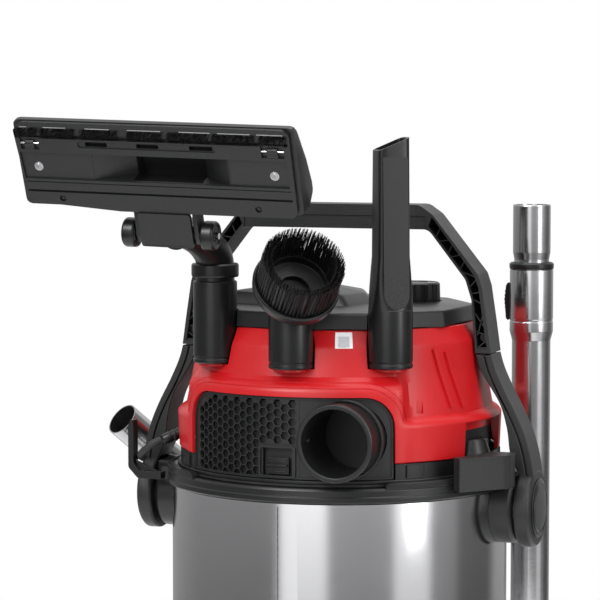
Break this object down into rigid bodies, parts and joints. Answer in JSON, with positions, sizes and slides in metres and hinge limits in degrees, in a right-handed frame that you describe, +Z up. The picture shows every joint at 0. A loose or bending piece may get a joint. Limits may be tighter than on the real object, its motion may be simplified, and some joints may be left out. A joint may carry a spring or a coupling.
{
  "type": "shop vacuum",
  "caption": "Wet and dry shop vacuum: steel drum on castors, lift-off motor head, swinging bail handle, parked floor head, round brush, crevice tool and telescopic tube.",
  "frame": {"origin": "on the floor under the middle of the object's outline, its free mains cord left out", "axes": "+Z up; -Y is the service side with the blow port, vent panel and parked tools; +X and +Y is the corner with the parked telescopic tube. The drum's axis is parallel to Z at x 33 mm, y 22 mm"},
  "size_m": [0.4634, 0.5551, 0.8336],
  "materials": {
    "steel_drum": "satin brushed stainless sheet",
    "chromed_steel": "polished chromed tube",
    "black_plastic": "fine-textured moulded plastic",
    "soft_black": "matt moulded plastic",
    "red_plastic": "glossy moulded plastic",
    "grey_plastic": "moulded plastic",
    "black_rubber": "matt rubber",
    "coiled_cord": "matt rubber sheath",
    "black_bristle": "nylon bristle",
    "filter_paper": "pleated filter paper"
  },
  "bodies": {
    "tank": {"drum": "steel_drum", "drum_floor": "steel_drum", "rim_collar": "black_plastic", "inlet_fitting": "black_plastic", "drain_fitting": "black_plastic", "base_tray": "black_plastic", "pivot_housing_right": "black_plastic", "pivot_housing_left": "black_plastic", "pivot_pin_right": "chromed_steel", "pivot_pin_left": "chromed_steel", "cable_hook": "black_plastic", "hand_tube_clip": "black_plastic", "power_cord": "black_rubber", "cord_coil": "coiled_cord", "mains_plug": "black_rubber"},
    "bail": {"bail_bow": "black_plastic", "bail_arm_right": "black_plastic", "bail_arm_left": "black_plastic", "pivot_cap_right": "soft_black", "pivot_cap_left": "soft_black"},
    "head": {"head_base": "black_plastic", "head_gasket": "black_rubber", "head_cover": "red_plastic", "top_deck": "black_plastic", "vent_panel": "black_plastic", "blow_port": "black_plastic", "motor_housing": "grey_plastic", "float_cage": "grey_plastic", "filter_cartridge": "filter_paper", "cable_gland": "black_rubber"},
    "knob": {"mode_knob": "soft_black"},
    "slider": {"cleaning_slider": "black_plastic"},
    "fan": {"impeller": "grey_plastic"},
    "float": {"float": "grey_plastic"},
    "cap": {"drain_cap": "black_plastic"},
    "nozzle_swivel": {"nozzle_neck": "black_plastic"},
    "nozzle": {"nozzle_head": "black_plastic", "nozzle_sole": "black_plastic", "nozzle_brush_strip": "black_bristle", "nozzle_axle": "chromed_steel"},
    "nozzle_roller_left": {"nozzle_wheel_left": "soft_black"},
    "nozzle_roller_right": {"nozzle_wheel_right": "soft_black"},
    "brush": {"brush_body": "black_plastic", "brush_bristles": "black_bristle"},
    "crevice": {"crevice_tool": "black_plastic"},
    "tube": {"outer_tube": "chromed_steel", "tube_collar": "black_plastic"},
    "tube_inner": {"inner_tube": "chromed_steel"},
    "tube_lock": {"tube_lock_slider": "black_plastic"},
    "hand": {"hand_tube": "chromed_steel", "hose_cuff": "black_plastic"},
    "swivel_back_right": {"caster_fork_back_right": "black_plastic"},
    "wheel_back_right": {"caster_wheel_back_right": "grey_plastic"},
    "swivel_back_left": {"caster_fork_back_left": "black_plastic"},
    "wheel_back_left": {"caster_wheel_back_left": "grey_plastic"},
    "swivel_left": {"caster_fork_left": "black_plastic"},
    "wheel_left": {"caster_wheel_left": "grey_plastic"},
    "swivel_right": {"caster_fork_right": "black_plastic"},
    "wheel_right": {"caster_wheel_right": "grey_plastic"}
  },
  "joints": [
    {"name": "bail_swing", "type": "hinge", "parent": "tank", "child": "bail", "pos_m": [0.033, 0.022, 0.46], "axis": [-1, 0, 0], "range_deg": [0, 28]},
    {"name": "head_lift", "type": "slide", "parent": "tank", "child": "head", "axis": [0, 0, 1], "range_m": [0, 0.01]},
    {"name": "knob_turn", "type": "hinge", "parent": "head", "child": "knob", "pos_m": [0.093, 0.074, 0.65], "axis": [0, 0, 1], "range_deg": [-60, 60]},
    {"name": "slider_slide", "type": "slide", "parent": "head", "child": "slider", "axis": [0, 0, 1], "range_m": [0, 0.008]},
    {"name": "fan_spin", "type": "hinge", "parent": "head", "child": "fan", "pos_m": [0.033, 0.022, 0.485], "axis": [0, 0, 1], "continuous": true},
    {"name": "float_rise", "type": "slide", "parent": "head", "child": "float", "axis": [0, 0, 1], "range_m": [0, 0.03]},
    {"name": "drain_cap_turn", "type": "hinge", "parent": "tank", "child": "cap", "pos_m": [0.033, -0.162, 0.134], "axis": [0, -1, 0], "range_deg": [0, 360]},
    {"name": "nozzle_lift", "type": "slide", "parent": "head", "child": "nozzle_swivel", "axis": [0, 0, 1], "range_m": [0, 0.04]},
    {"name": "nozzle_tilt", "type": "hinge", "parent": "nozzle_swivel", "child": "nozzle", "pos_m": [-0.063, -0.171, 0.7215], "axis": [0.9996, 0, -0.0279], "range_deg": [-30, 60]},
    {"name": "roller_left_spin", "type": "hinge", "parent": "nozzle", "child": "nozzle_roller_left", "pos_m": [-0.10099, -0.171, 0.72256], "axis": [0.9996, 0, -0.0279], "continuous": true},
    {"name": "roller_right_spin", "type": "hinge", "parent": "nozzle", "child": "nozzle_roller_right", "pos_m": [-0.02501, -0.171, 0.72044], "axis": [0.9996, 0, -0.0279], "continuous": true},
    {"name": "brush_lift", "type": "slide", "parent": "head", "child": "brush", "axis": [0, 0, 1], "range_m": [0, 0.018]},
    {"name": "crevice_lift", "type": "slide", "parent": "head", "child": "crevice", "axis": [0, 0, 1], "range_m": [0, 0.05]},
    {"name": "tube_lift", "type": "slide", "parent": "tank", "child": "tube", "axis": [0, 0, 1], "range_m": [0, 0.04]},
    {"name": "tube_extend", "type": "slide", "parent": "tube", "child": "tube_inner", "axis": [0, 0, 1], "range_m": [0, 0.35]},
    {"name": "tube_lock_press", "type": "slide", "parent": "tube", "child": "tube_lock", "axis": [0, 0, 1], "range_m": [0, 0.006], "stiffness_N_per_m": 300},
    {"name": "hand_tube_pull", "type": "slide", "parent": "tank", "child": "hand", "axis": [-0.7849, 0.6197, 0], "range_m": [0, 0.05]},
    {"name": "swivel_back_right_turn", "type": "hinge", "parent": "tank", "child": "swivel_back_right", "pos_m": [0.183, 0.172, 0.06], "axis": [0, 0, 1], "continuous": true},
    {"name": "wheel_back_right_spin", "type": "hinge", "parent": "swivel_back_right", "child": "wheel_back_right", "pos_m": [0.183, 0.154, 0.025], "axis": [1, 0, 0], "continuous": true},
    {"name": "swivel_back_left_turn", "type": "hinge", "parent": "tank", "child": "swivel_back_left", "pos_m": [-0.117, 0.172, 0.06], "axis": [0, 0, 1], "continuous": true},
    {"name": "wheel_back_left_spin", "type": "hinge", "parent": "swivel_back_left", "child": "wheel_back_left", "pos_m": [-0.117, 0.154, 0.025], "axis": [1, 0, 0], "continuous": true},
    {"name": "swivel_left_turn", "type": "hinge", "parent": "tank", "child": "swivel_left", "pos_m": [-0.117, -0.128, 0.06], "axis": [0, 0, 1], "continuous": true},
    {"name": "wheel_left_spin", "type": "hinge", "parent": "swivel_left", "child": "wheel_left", "pos_m": [-0.117, -0.146, 0.025], "axis": [1, 0, 0], "continuous": true},
    {"name": "swivel_right_turn", "type": "hinge", "parent": "tank", "child": "swivel_right", "pos_m": [0.183, -0.128, 0.06], "axis": [0, 0, 1], "continuous": true},
    {"name": "wheel_right_spin", "type": "hinge", "parent": "swivel_right", "child": "wheel_right", "pos_m": [0.183, -0.146, 0.025], "axis": [1, 0, 0], "continuous": true}
  ]
}
